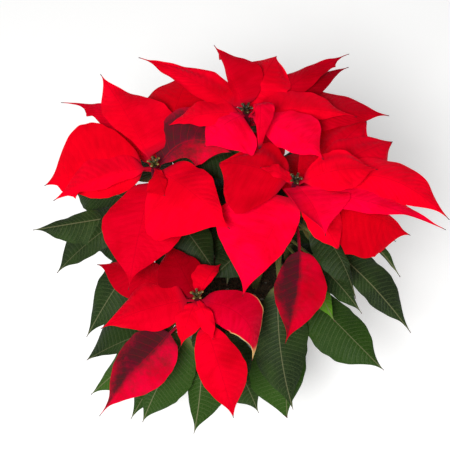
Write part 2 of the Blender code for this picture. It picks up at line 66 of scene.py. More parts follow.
# Heights the solids give, and the gap between pieces
SOIL_TOP = 116.0 * MM
STEM_DEPTH = 32.0 * MM
GAP = 0.3 * MM

# Stems and stalks
STEM_FOOT_RADIUS = 5.2 * MM
STEM_TIP_RADIUS = 3.4 * MM
STEM_SIDES = 20
STEM_RINGS = 90
HUB_RINGS = 13
WOODY_HEIGHT = 95.0 * MM
PETIOLE_HALF_WIDTH = 1.4 * MM

# Fineness of a blade's mesh, the waves and the frill of its edge, its drawn out teeth and its soft folds
CELL = 2.2 * MM
ROWS_PER_VEIN = 4
EDGE_WAVE = 1.6 * MM
EDGE_FRILL = 0.5 * MM
LOBE_SPREAD = 0.035
FOLD_SIZE = 22.0 * MM
GROOVE_WIDTH = 1.5 * MM
RIB_WIDTH = 1.0 * MM
SHARP_ANGLE = math.radians(60.0)

# Florets: the stalk they stand on, the ring round the middle one, and the parts of a cup
CROWN_HEIGHT = 5.0 * MM
CROWN_RADIUS = 2.0 * MM
FLORET_LIFT = 1.925 * MM
FLORET_RING = 3.0 * MM
FLORETS_ROUND = 5
STAMENS = 6
CUP_RINGS, CUP_SIDES = 10, 18
GLAND_RADII = (1.25 * MM, 1.25 * MM, 0.8 * MM)
ANTHER_RADII = (0.34 * MM, 0.34 * MM, 0.30 * MM)

# Soil and crumbs
SOIL_RINGS, SOIL_SIDES = 60, 120
SOIL_FOOT_SHARE = 0.76
CRUMB_REACH = 0.94
CRUMB_CLEARANCE = 2.6 * MM
PERLITE_EVERY = 9

# Stage
FLOOR_HALF = 40.0
FLOOR_DROP = 0.2 * MM
KEY_PLACE = Vector((-0.4, -1.12, 1.87))
KEY_SIZE = 0.65
KEY_TARGET = Vector((0.0, 0.0, 0.27))
CAMERA_TARGET = Vector((0.0, -0.02, 0.27))
SENSOR_WIDTH = 36.0

# A blade in millimetres and degrees. azimuth, reach and rise take its root to its tip. left and right are
# the half widths seen from root to tip, and low is the root's depth under the stem's top. belly is the place
# of the greatest width and drip how far the tip is drawn out. arch bows the midrib up, sway to its left, and
# lean moves the bow to the root. roll lifts the left half, fold is the fall of each half from the midrib and
# curl, never 0, what the edge adds to it. petiole is the stalk's share of the length. lobes are (half, place
# along, length) of drawn out teeth, half 0 being the left. crinkle and ripple deepen the soft folds and the
# frill of the edge, and pleat is the height of folds that run to the tip. maroon is the share of leaf purple,
# cream is above 0 where the edge is pale, tone is painted light and shade on the whole blade, darker below 1
# and lighter above 1, where a leaf above 1 also takes the light green of young leaves, and pink is on a bract
# the share of a bluer red painted as sheen where it faces the light, and on a leaf the share of purer green
# painted as light. A pair of numbers is for the left and the right half.
Blade = namedtuple(
    "Blade",
    "number azimuth reach rise left right low belly drip arch lean sway roll fold curl petiole "
    "lobes crinkle ripple maroon cream tone pink pleat",
    defaults=(0.4, 0.75, 12, 0.0, 0, 0, 12, 10, 0.1, (), 1.0, 1.0, 0.0, 0.0, 1.0, 0.2, 0.0),
)
Leaf = partial(Blade, petiole=0.25)

# A stem: where it leaves the soil, the top of its hub, and the hub's length
Stem = namedtuple("Stem", "foot top hub")

STEMS = {
    "left": Stem(foot=(-32, 4), top=(-66, 6, 335), hub=34),
    "top": Stem(foot=(12, 32), top=(20, 49, 360), hub=34),
    "right": Stem(foot=(34, -8), top=(64, -22, 350), hub=44),
    "front": Stem(foot=(-10, -34), top=(-26, -101, 275), hub=34),
}


BRACTS = {
    "left": (
        Blade(1, 119, 113, 15, 21, 42, 5, belly=(0.6, 0.3), drip=(1.4, 1.7), fold=(30, 6), crinkle=1.5),
        Blade(2, 185, 105, -12, 26, 54, 8, belly=(0.4, 0.5), roll=-22, lobes=((0, 0.84, 6),), crinkle=1.5,
              tone=0.92, pink=0.0),
        Blade(3, 199, 98, -7, 10, 30, 3, fold=(40, 8), lobes=((0, 0.8, 5),)),
        Blade(4, 135, 140, -15, 14, 15, 20, drip=1.1, sway=-18, lobes=((0, 0.72, 6),), tone=0.8, pink=0.5),
        Blade(5, 316, 98, 4, 31, 55, 4, belly=(0.28, 0.44)),
        Blade(6, 288, 37, 8, 6, 15, 4, belly=(0.5, 0.7), drip=(0.5, 0.1), arch=8, petiole=0.2, tone=0.72,
              pink=0.0),
        Blade(7, 258, 109, -33, 40, 40, 12, belly=(0.38, 0.44), drip=1.3, tone=0.7, pink=0.3),
        Blade(8, 14, 74, 10, 36, 31, 14, belly=(0.5, 0.62), drip=0.5, arch=18, sway=14, roll=15, fold=(6, 52),
              maroon=(0.95, 0.6), tone=0.92, pink=1.0),
        Blade(9, 75, 123, 8, 34, 30, 18, belly=0.6, drip=0.2, tone=0.68, pink=0.0),
    ),
    "top": (
        Blade(1, 145, 127, -4, 12, 23, 6, belly=(0.36, 0.24), drip=(1.0, 1.5), tone=0.93, pleat=1.0),
        Blade(2, 112, 82, 11, 12, 32, 6, belly=(0.24, 0.4), drip=1.6, fold=(70, 8), lobes=((0, 0.8, 5),),
              tone=0.74),
        Blade(3, 68, 81, 2, 30, 28, 12, belly=(0.66, 0.52), tone=0.92, pleat=1.0),
        Blade(4, 41, 137, -9, 17, 12, 16, belly=(0.27, 0.4), drip=1.1, lobes=((1, 0.8, 3),), tone=0.6),
        Blade(5, 38, 131, -13, 14, 16, 22, tone=0.42),
        Blade(6, 5, 106, -15, 27, 12, 5, drip=1.2, fold=(8, 50), tone=0.95),
        Blade(7, 324, 86, 1, 32, 17, 4, belly=(0.6, 0.5), fold=(5, 40), tone=1.1, pink=0.9),
        Blade(8, 186, 74, -6, 12, 20, 4, arch=11),
        Blade(9, 219, 50, -6, 38, 20, 4, belly=(0.3, 0.5), drip=0.3, pink=1.0),
        Blade(10, 284, 45, 14, 14, 5, 10, belly=0.66, drip=-0.2, arch=33, lean=-0.5, sway=8, tone=0.85,
              pink=0.6),
        Blade(11, 9, 141, -14, 37, 16, 22, belly=0.45, tone=0.65),
        Blade(12, 302, 56, -16, 24, 20, 28, belly=0.5, tone=0.5),
    ),
    "right": (
        Blade(1, 347, 142, -20, 20, 13, 10, belly=(0.42, 0.22), drip=(1.5, 2.4), tone=1.05, pink=1.0),
        Blade(2, 349, 143, -5, 28, 19, 15, belly=0.55, sway=25, tone=1.08),
        Blade(3, 11, 77, 4, 28, 20, 4, belly=0.5, tone=1.1, pleat=1.0),
        Blade(4, 296, 58, -1, 42, 24, 4, belly=(0.48, 0.3), fold=(12, -10), curl=(10, -50), tone=1.08,
              pink=0.9),
        Blade(5, 348, 113, -30, 16, 42, 25, belly=0.55, lobes=((1, 0.45, 2), (1, 0.72, 3)), ripple=2.5,
              tone=0.76, pink=0.0),
        Blade(6, 156, 76, -10, 47, 38, 5, belly=(0.46, 0.45), drip=(0.2, 0.75), crinkle=1.8, tone=0.68,
              pink=0.1, pleat=1.6),
        Blade(7, 33, 115, -5, 34, 28, 20, belly=0.6, drip=0.3, crinkle=2.0, tone=0.85, pleat=2.2),
        Blade(8, 308, 64, -12, 22, 14, 22, belly=0.55, drip=0.1),
        Blade(9, 242, 102, -40, 20, 60, 10, belly=(0.3, 0.36), pink=0.9, pleat=0.8),
        Blade(10, 50, 113, -3, 34, 26, 22, belly=0.55, drip=0.1, arch=8, tone=0.75, pleat=2.4),
        Blade(11, 266, 115, -60, 28, 23, 40, belly=0.42, drip=1.2, arch=18, sway=9, petiole=0.33,
              maroon=(0.25, 0.9), tone=0.68, pink=0.6),
        Blade(12, 106, 62, -12, 10, 22, 40, belly=0.5, tone=0.5),
        Blade(13, 83, 70, -10, 22, 22, 38, belly=0.55, drip=0.3, arch=7, tone=0.5),
        Blade(14, 160, 34, 12, 5, 9, 4, belly=0.5, drip=0.3, arch=6, tone=0.8),
    ),
    "front": (
        Blade(1, 194, 93, -16, 22, 34, 4, belly=0.34, drip=1.0, tone=0.82, pleat=0.8),
        Blade(2, 153, 111, -18, 24, 24, 12, belly=0.5, tone=0.54),
        Blade(3, 118, 66, 14, 26, 20, 14, tone=0.36),
        Blade(4, 60, 44, 3, 23, 5, 8, belly=(0.5, 0.6), tone=0.8),
        Blade(5, 321, 67, -45, 28, 19, 5, belly=(0.45, 0.35), arch=22, sway=14, petiole=0.04, cream=0.7,
              tone=0.78, pink=0.8),
        Blade(6, 289, 104, -44, 27, 21, 8, belly=(0.52, 0.44), drip=0.6, petiole=0.2, tone=0.84),
        Blade(7, 251, 45, -11, 14, 13, 4),
        Blade(8, 223, 128, -58, 28, 31, 20, belly=(0.33, 0.36), drip=1.4, petiole=0.25, maroon=(0.4, 0.9),
              tone=0.8, pink=1.0),
        Blade(9, 291, 42, -4, 8, 9, 3, belly=0.5, drip=0.3, arch=8, petiole=0.05),
    ),
}

LEAVES = {
    "left": (
        Leaf(1, 188, 131, -10, 24, 14, 78, arch=9, sway=5, tone=0.9, pink=0.1),
        Leaf(2, 207.5, 116, -58, 15, 37, 55, belly=(0.4, 0.5), petiole=0.22, tone=0.7, pink=0.0),
        Leaf(3, 230, 130, -70, 26, 24, 95, tone=0.85),
        Leaf(4, 308, 93, -25, 22, 22, 52, arch=6, petiole=0.2, tone=0.5),
        Leaf(5, 150, 120, -55, 28, 28, 85),
        Leaf(6, 105, 110, -45, 26, 26, 70),
        Leaf(7, 285, 95, -25, 24, 24, 88, petiole=0.2, tone=0.4),
        Leaf(8, 172, 96, -48, 25, 25, 140, petiole=0.28),
        Leaf(9, 22, 82, -4, 34, 26, 82, belly=(0.52, 0.4), drip=(0.4, 0.75), petiole=0.15, tone=0.35),
    ),
    "top": (
        Leaf(10, 262, 110, -10, 24, 24, 120, tone=0.5),
        Leaf(11, 72, 120, -60, 28, 28, 55, petiole=0.1),
        Leaf(12, 55, 118, -55, 28, 28, 80),
        Leaf(13, 138, 118, -60, 28, 28, 95),
        Leaf(14, 18, 120, -70, 28, 28, 110),
        Leaf(15, 205, 66, -2, 24, 24, 62, petiole=0.1, tone=0.4),
        Leaf(16, 320, 80, -15, 24, 24, 95, tone=0.4),
        Leaf(17, 75, 96, -45, 25, 25, 150, petiole=0.28),
    ),
    "right": (
        Leaf(18, 275, 147, -100, 24, 38, 130, belly=(0.5, 0.66), drip=(0.75, 0.3), petiole=0.3, tone=1.12,
             pink=1.0),
        Leaf(19, 274, 147, -96, 31, 27, 100, belly=(0.4, 0.5), drip=(0.75, 0.7), sway=-11, petiole=0.28,
             tone=0.85, pink=0.1),
        Leaf(20, 312, 165, -15, 25, 32, 150, belly=0.5, sway=-5, petiole=0.3, tone=0.95, pink=0.8),
        Leaf(21, 319.5, 150, -49, 27, 14, 65, belly=(0.45, 0.5), drip=(0.75, 1.2), sway=3, petiole=0.28,
             pink=0.0),
        Leaf(22, 329, 117, -15, 12, 4, 55, sway=12),
        Leaf(23, 303, 95, -25, 16, 16, 110, tone=2.2, pink=1.0),
        Leaf(24, 301, 106, -6, 7, 20, 47, arch=10, sway=8, tone=0.65, pink=0.0),
        Leaf(25, 319, 103, -40, 14, 14, 100, petiole=0.3),
        Leaf(26, 10, 120, -60, 28, 28, 90, petiole=0.12),
        Leaf(27, 215, 95, -20, 24, 24, 72, tone=0.4),
        Leaf(28, 42, 96, -15, 25, 25, 165),
        Leaf(29, 86, 92, -6, 24, 24, 72, petiole=0.2, tone=0.35),
        Leaf(30, 330, 70, -10, 20, 20, 130, petiole=0.15, tone=0.35),
    ),
    "front": (
        Leaf(31, 192, 118, -48, 12, 46, 60, belly=(0.4, 0.64), petiole=0.2, tone=0.8),
        Leaf(32, 206, 129, -70, 28, 22, 75, petiole=0.22, tone=1.15, pink=0.5),
        Leaf(33, 229, 121, -70, 16, 30, 95, tone=0.95, pink=1.0),
        Leaf(34, 232, 94, -90, 28, 26, 50, petiole=0.15, pink=1.0),
        Leaf(35, 265, 97, -70, 32, 14, 70, sway=4, petiole=0.2, tone=0.95, pink=1.0),
        Leaf(36, 304, 97, -75, 24, 30, 90, belly=(0.4, 0.5), drip=(0.75, 1.0), petiole=0.2),
        Leaf(37, 296, 39, -25, 18, 18, 38, petiole=0.15, tone=0.6),
    ),
}

# Painted shade that darkens the florets of each head, deepest for the two heads that hold theirs deep among
# upright bracts
FLORET_PAINTED_SHADE = {"left": 0.8, "top": 0.3, "right": 0.35, "front": 0.8}

# Values that a piece's points carry to its material
VALUES = ("span", "along", "under", "maroon", "cream", "tone", "stalk", "pink")


def smooth(value):
    """Ease from 0 to 1 with level ends."""
    value = np.clip(value, 0.0, 1.0)
    return value * value * (3.0 - 2.0 * value)


def fade(along, base, tip):
    """A share that grows from the base and dies away at the tip, faster for larger numbers."""
    return smooth(along * base) * smooth((1.0 - along) * tip)


def unit(vectors):
    """The same directions at length 1."""
    return vectors / np.linalg.norm(vectors, axis=-1, keepdims=True)


def halves(values, left):
    """A setting at each point, given once or as one number for the left and one for the right half."""
    first, second = values if isinstance(values, tuple) else (values, values)
    return np.where(left, first, second)


def spoke(angle):
    """The level direction at an angle."""
    return Vector((math.cos(angle), math.sin(angle), 0.0))


def stem_point(stem, height):
    """The middle of a stem at a height: upright in the soil, leaning out, upright again at its tip."""
    top = Vector(stem.top) * MM
    share = float(smooth((height - SOIL_TOP) / (top.z - stem.hub * MM - SOIL_TOP)))
    foot = Vector((stem.foot[0] * MM, stem.foot[1] * MM, 0.0))
    return Vector((foot.x + (top.x - foot.x) * share, foot.y + (top.y - foot.y) * share, height))


def width_share(along, belly, drip):
    """The outline of a blade: round at its base, widest at the belly, drawn out to a point."""
    bend = np.log(0.5) / np.log(belly)
    inside = np.clip(along, 0.0, 1.0)
    return np.maximum(np.sin(np.pi * inside ** bend), 0.0) ** (0.6 + drip * inside)


def rib_frame(blade, root, t):
    """Points of the midrib, with the directions across the blade to its left and out of its face."""
    turn = math.radians(blade.azimuth)
    out = np.array((math.cos(turn), math.sin(turn), 0.0))
    side = np.array((-out[1], out[0], 0.0))
    chord = out * blade.reach * MM + np.array((0.0, 0.0, blade.rise * MM))
    bow = np.cross(unit(chord), side) * blade.arch * MM * 4.0 / 3.0
    sway = side * blade.sway * MM * 4.0 / 3.0
    first = chord / 3.0 + bow * (1.0 + blade.lean) + sway
    second = chord * 2.0 / 3.0 + bow * (1.0 - blade.lean) + sway
    t = t[..., None]
    rest = 1.0 - t
    point = np.array(root) + first * 3.0 * rest * rest * t + second * 3.0 * rest * t * t + chord * t ** 3
    along = unit(first * rest * rest + (second - first) * 2.0 * rest * t + (chord - second) * t * t)
    side = unit(side - along * (along @ side)[..., None])
    face = np.cross(along, side)
    cos, sin = math.cos(math.radians(blade.roll)), math.sin(math.radians(blade.roll))
    return point, side * cos + face * sin, face * cos - side * sin


def seed_of(name):
    """A number of its own for each blade, the same in each run."""
    return sum(ord(letter) * (place + 3) for place, letter in enumerate(name)) % 97


def rough(points, scale, seed):
    """Smooth noise from -1 to 1 at points given in metres, one bump about every scale metres."""
    shift = Vector((seed * 1.7, seed * 0.9, seed * 2.3))
    values = [noise.noise(Vector(point) / scale + shift) for point in points.reshape(-1, 3)]
    return np.array(values).reshape(points.shape[:-1])


def tooth(along, place, length):
    """A pointed lobe on the edge of a blade, drawn out towards the tip."""
    before = np.clip(1.0 - (place - along) / (LOBE_SPREAD * 2.2), 0.0, 1.0)
    after = np.clip(1.0 - (along - place) / (LOBE_SPREAD * 0.8), 0.0, 1.0)
    return length * MM * np.where(along < place, before ** 2.0, after ** 2.4)


def grid_faces(rows, columns):
    """Quads of a grid of points, facing up where rows run away and columns to the left."""
    row, column = np.meshgrid(np.arange(rows - 1), np.arange(columns - 1), indexing="ij")
    first = (row * columns + column).ravel()
    return np.stack((first, first + columns, first + columns + 1, first + 1), axis=1)


def rim_faces(rows, columns):
    """Quads that close the edge between an upper and a lower grid."""
    grid = np.arange(rows * columns).reshape(rows, columns)
    rim = np.concatenate((grid[:-1, 0], grid[-1, :-1], grid[:0:-1, -1], grid[0, :0:-1]))
    after = np.roll(rim, -1)
    return np.stack((after, rim, rim + grid.size, after + grid.size), axis=1)


def ring_faces(rings, sides, first=0):
    """Quads between rings of points that are numbered one after another."""
    faces = []
    for ring in range(rings - 1):
        for step in range(sides):
            a = first + ring * sides + step
            b = first + ring * sides + (step + 1) % sides
            faces.append((a, b, b + sides, a + sides))
    return faces


def tube_faces(rings, sides):
    """Faces of a tube with both ends closed."""
    last = (rings - 1) * sides
    ends = [tuple(reversed(range(sides))), tuple(last + step for step in range(sides))]
    return ring_faces(rings, sides) + ends


class Shape:
    """A mesh as it grows: points, faces, places on the blade and the values for its material."""

    def __init__(self, **common):
        self.common = common
        self.points = []
        self.faces = []
        self.places = []
        self.values = {name: [] for name in VALUES}
        self.total = 0

    def add(self, points, faces, places=None, **values):
        """Take in one more closed part."""
        points = np.asarray(points, float).reshape(-1, 3)
        count = len(points)
        self.points.append(points)
        self.faces.extend(tuple(int(corner) + self.total for corner in face) for face in faces)
        self.places.append(np.zeros((count, 2)) if places is None else places)
        for name, kept in self.values.items():
            value = values.get(name, self.common.get(name, 0.0))
            kept.append(np.broadcast_to(np.asarray(value, float), (count,)))
        self.total += count

    def take(self, work, **values):
        """Take in a small mesh made with bmesh, and free it."""
        work.verts.index_update()
        points = [tuple(vert.co) for vert in work.verts]
        faces = [tuple(vert.index for vert in face.verts) for face in work.faces]
        work.free()
        self.add(points, faces, **values)

    def make(self, name, finish, node):
        """The finished object, riding on the plant in the place of its solid."""
        mesh = bpy.data.meshes.new(name)
        mesh.from_pydata(np.concatenate(self.points).tolist(), [], self.faces)
        corners = np.zeros(len(mesh.loops), np.int32)
        mesh.loops.foreach_get("vertex_index", corners)
        layer = mesh.uv_layers.new(name="blade")
        layer.data.foreach_set("uv", np.concatenate(self.places)[corners].astype(np.float32).ravel())
        for label, kept in self.values.items():
            store = mesh.attributes.new(label, "FLOAT", "POINT")
            store.data.foreach_set("value", np.concatenate(kept).astype(np.float32))
        mesh.materials.append(finish)
        mesh.shade_smooth()
        mesh.set_sharp_from_angle(angle=SHARP_ANGLE)
        made = bpy.data.objects.new(name, mesh)
        bpy.context.scene.collection.objects.link(made)
        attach(made, "root")
        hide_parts(node)


def half_width(blade, build, along, left, seed):
    """Half the blade's width at each point, with the wobble and the lobes of its edge."""
    width = halves((blade.left, blade.right), left) * MM
    width = width * width_share(along, halves(blade.belly, left), halves(blade.drip, left))
    wobble = np.sin(along * 31.0 + seed + 2.0 * left) * 0.6 + np.sin(along * 57.0 + seed * 1.9 + left) * 0.4
    width = width * (1.0 + build.wobble * wobble * fade(along, 6.0, 5.0))
    width = width * (1.0 - build.point * smooth((along - 0.76) * 5.0))
    for half, spot, length in blade.lobes:
        width = width + np.where(left == (half == 0), tooth(along, spot, length), 0.0)
    return np.maximum(width, PETIOLE_HALF_WIDTH * (1.0 - 0.8 * smooth((along - 0.6) * 2.5)))


def edge_lift(blade, along, across, left, seed):
    """Height of the waves and the frill of the edge, and of the pleats that run to the tip."""
    share = np.abs(across)
    level = fade(along, 5.0, 4.0)
    wave = np.sin(TURN * (2.3 * along + 0.35 * (1 - left)) + blade.azimuth)
    frill = np.sin(TURN * (5.7 * along + 0.21 * left) + seed)
    lift = EDGE_WAVE * share ** 2 * wave * level + EDGE_FRILL * blade.ripple * share ** 4 * frill * level
    return lift + blade.pleat * MM * np.cos(3.0 * math.pi * across + seed) * share * fade(along, 3.0, 3.0)


def cushion_lift(build, along, share, reach, near):
    """Height of the cushions between the side veins, less the groove along the midrib."""
    puff = 1.0 - (1.0 - near) ** 2
    cushion = build.relief * (puff - 0.6) * smooth(share * 5.0) * smooth((1.0 - share) * 4.0 + 0.15)
    groove = build.relief * 1.3 * np.exp(-(share * reach / GROOVE_WIDTH) ** 2)
    return (cushion - groove) * fade(along, 9.0, 8.0)


def add_blade(shape, blade, root, build, seed):
    """Add one bract or leaf as a thin closed sheet, with its rows of points along its side veins."""
    cells = [max(5, round(width * MM / CELL)) for width in (blade.right, blade.left)]
    across = np.concatenate((np.linspace(-1.0, 0.0, cells[0] + 1), np.linspace(0.0, 1.0, cells[1] + 1)[1:]))
    length = math.hypot(blade.reach, blade.rise) * MM * (1.0 - blade.petiole)
    veins = max(6, round(length / build.vein_gap))

    # Rows of the stalk, which all lie at the base of the face, and then rows of the face
    place = np.linspace(0.0, 1.0, veins * ROWS_PER_VEIN + 1)[:, None]
    along = place + build.vein_slant * 4.0 * place * (1.0 - place) * np.abs(across) ** 1.25
    stalk = np.linspace(0.0, 1.0, build.stalk_rows, endpoint=False)[:, None] + 0.0 * across
    t = np.vstack((blade.petiole * stalk, blade.petiole + (1.0 - blade.petiole) * along))
    place = np.vstack((0.0 * stalk, place + 0.0 * across))
    stalk = np.vstack((1.0 + 0.0 * stalk, 1.0 - smooth(along * 9.0)))
    along = np.vstack((0.0 * t[:build.stalk_rows], along))
    across = across + 0.0 * along
    share = np.abs(across)
    left = across > 0.0
    reach = half_width(blade, build, along, left, seed)

    # The plain face: a bowed midrib, and halves that fall from it in an arc
    rib, side, face = rib_frame(blade, root, t)
    side = side * np.where(left, 1.0, -1.0)[..., None]
    fold = np.radians(halves(blade.fold, left)) * smooth(along * 5.0)
    curl = np.radians(halves(blade.curl, left))
    tilt = fold + curl * share
    out = reach * (np.sin(tilt) - np.sin(fold)) / curl
    down = reach * (np.cos(fold) - np.cos(tilt)) / curl
    middle = rib + side * out[..., None] - face * down[..., None]

    phase = place * veins
    near = np.abs(phase - np.round(phase)) * 2.0
    folds = build.crinkle * blade.crinkle * rough(middle, FOLD_SIZE, seed) * smooth(along * 6.0)
    lift = edge_lift(blade, along, across, left, seed) + folds * (0.35 + share)
    lift = lift + cushion_lift(build, along, share, reach, near)
    normal = unit(face * np.cos(tilt)[..., None] + side * np.sin(tilt)[..., None])
    normal[:, cells[0]] = face[:, cells[0]]
    middle = middle + face * lift[..., None]

    # The thickness, thin at the edge, with a rib and side veins below, and round at the stalk
    round_off = PETIOLE_HALF_WIDTH * np.sqrt(np.clip(1.0 - share ** 2, 0.06, 1.0)) * stalk
    sheet = build.thickness * 0.5 * (0.55 + 0.45 * smooth((1.0 - share) * 6.0))
    rib_depth = build.rib * (1.0 - 0.75 * along) * np.exp(-(share * reach / RIB_WIDTH) ** 2)
    vein_depth = build.relief * 0.5 * (1.0 - near) * smooth(share * 5.0) * smooth((1.0 - share) * 3.0)
    above = sheet * (1.0 - stalk) + 0.8 * round_off
    below = (sheet + rib_depth + vein_depth) * (1.0 - stalk) + round_off
    points = np.stack((middle + normal * above[..., None], middle - normal * below[..., None]))

    total = along.size
    upper_faces = grid_faces(*along.shape)
    faces = np.vstack((upper_faces, upper_faces[:, ::-1] + total, rim_faces(*along.shape)))
    places = np.stack((0.5 + 0.5 * across, phase), axis=-1).reshape(-1, 2)
    to_left = smooth(across * 2.2 + 0.5)
    maroon = halves(blade.maroon, True) * to_left + halves(blade.maroon, False) * (1.0 - to_left)
    maroon = maroon * (1.3 - 0.7 * along) * (1.0 - 0.35 * share ** 2)
    both = {"span": reach / MM, "along": along, "maroon": maroon, "stalk": stalk}
    # Each blade carries its painted light and shade, with a small random change of lightness, and its share
    # of painted sheen on a bract and of painted light on a leaf.
    shape.add(points, faces, np.tile(places, (2, 1)), under=np.repeat((0.0, 1.0), total), cream=blade.cream,
              tone=blade.tone * (1.0 + 0.05 * math.sin(seed * 2.4)), pink=blade.pink,
              **{name: np.tile(value.ravel(), 2) for name, value in both.items()})


def add_tube(shape, path, radii, sides, **values):
    """Add a closed round tube along a path, with level rings."""
    points = []
    for centre, radius in zip(path, radii):
        for step in range(sides):
            angle = TURN * step / sides
            x, y = radius * math.cos(angle), radius * math.sin(angle)
            points.append((centre[0] + x, centre[1] + y, centre[2]))
    shape.add(points, tube_faces(len(path), sides), **values)


def add_ball(shape, centre, radii, segments=12, **values):
    """Add an egg-shaped ball."""
    work = bmesh.new()
    bmesh.ops.create_uvsphere(work, u_segments=segments, v_segments=max(6, segments // 2 + 2), radius=1.0)
    for vert in work.verts:
        vert.co = centre + Vector([part * radius for part, radius in zip(vert.co, radii)])
    shape.take(work, **values)


class Tree:
    """Short calls that build the nodes of one material."""

    def __init__(self, name):
        self.material = bpy.data.materials.new(name)
        self.material.use_nodes = True
        self.nodes = self.material.node_tree.nodes
        self.links = self.material.node_tree.links
        self.shader = self.nodes["Principled BSDF"]

    def put(self, value, socket):
        """Link a socket or set a plain number or colour."""
        if isinstance(value, bpy.types.NodeSocket):
            self.links.new(value, socket)
        elif socket.type == "RGBA":
            socket.default_value = (*value, 1.0)
        else:
            socket.default_value = value

    def node(self, kind, sockets, output=0, **settings):
        """The output of a new node, with its settings made and its sockets filled."""
        node = self.nodes.new("ShaderNode" + kind)
        for name, value in settings.items():
            setattr(node, name, value)
        for socket, value in sockets.items():
            self.put(value, node.inputs[socket])
        return node.outputs[output]

    def math(self, operation, *values):
        """One step of arithmetic."""
        return self.node("Math", dict(enumerate(values)), operation=operation)

    def times(self, *values):
        """The product of some values."""
        return reduce(partial(self.math, "MULTIPLY"), values)

    def band(self, value, low, high, start=0.0, end=1.0):
        """Ease from start to end while the value goes from low to high."""
        values = dict(enumerate((value, low, high, start, end)))
        return self.node("MapRange", values, interpolation_type="SMOOTHSTEP")

    def mix(self, share, first, second):
        """One colour laid over another by a share."""
        return self.node("Mix", {0: share, 6: first, 7: second}, 2, data_type="RGBA")

    def tint(self, colour, over, *shares):
        """A colour with another laid over it by the product of some shares."""
        return self.mix(self.times(*shares), colour, over)

    def scale(self, colour, factor):
        """A colour made lighter or darker by a factor."""
        return self.node("VectorMath", {0: colour, "Scale": factor}, operation="SCALE")

    def value(self, name):
        """A value that the mesh's points carry."""
        return self.node("Attribute", {}, "Fac", attribute_name=name)

    def place(self):
        """The place on the blade: across from 0 to 1, and the number of the side vein."""
        split = self.node("SeparateXYZ", {0: self.node("UVMap", {}, uv_map="blade")})
        return split, split.node.outputs[1]

    def position(self):
        """The place in the plant's own frame, in metres."""
        return self.node("TexCoord", {}, "Object")

    def cloud(self, vector, scale, detail=3.0, roughness=0.55):
        """Soft noise from 0 to 1."""
        sockets = {"Vector": vector, "Scale": scale, "Detail": detail, "Roughness": roughness}
        return self.node("TexNoise", sockets, "Fac")

    def cells(self, vector, scale):
        """Distance to the nearest edge of a net of cells."""
        return self.node("TexVoronoi", {"Vector": vector, "Scale": scale}, feature="DISTANCE_TO_EDGE")

    def vector(self, *values):
        """Three numbers as one vector."""
        return self.node("CombineXYZ", dict(enumerate(values)))

    def relief(self, height, strength, distance):
        """Raise the surface's shading by a height."""
        bump = self.node("Bump", {"Strength": strength, "Distance": distance, "Height": height})
        self.put(bump, self.shader.inputs["Normal"])

    def finish(self, colour, roughness, **sockets):
        """Link the colour and the roughness, and set the shader's other sockets."""
        self.put(colour, self.shader.inputs["Base Color"])
        self.put(roughness, self.shader.inputs["Roughness"])
        for name, value in sockets.items():
            self.put(value, self.shader.inputs[name.replace("_", " ")])
        return self.material


def vein_marks(tree, gap):
    """Shares of a blade's width, midrib, side veins and fine net, from its place on the blade."""
    u, v = tree.place()
    across = tree.times(tree.math("SUBTRACT", u, 0.5), 2.0)
    share = tree.math("ABSOLUTE", across)
    offset = tree.times(across, tree.value("span"))
    midrib = tree.band(tree.math("ABSOLUTE", offset), 0.15, 0.6, 1.0, 0.0)
    phase = tree.times(tree.math("PINGPONG", v, 0.5), gap)
    thin = tree.math("SUBTRACT", 1.0, tree.times(share, 0.6))
    side_veins = tree.band(tree.math("DIVIDE", phase, thin), 0.08, 0.38, 1.0, 0.0)
    side_veins = tree.times(side_veins, tree.band(share, 0.97, 0.8))
    spot = tree.vector(offset, tree.times(v, gap), tree.value("tone"))
    return share, midrib, side_veins, tree.band(tree.cells(spot, 0.7), 0.02, 0.14, 1.0, 0.0)


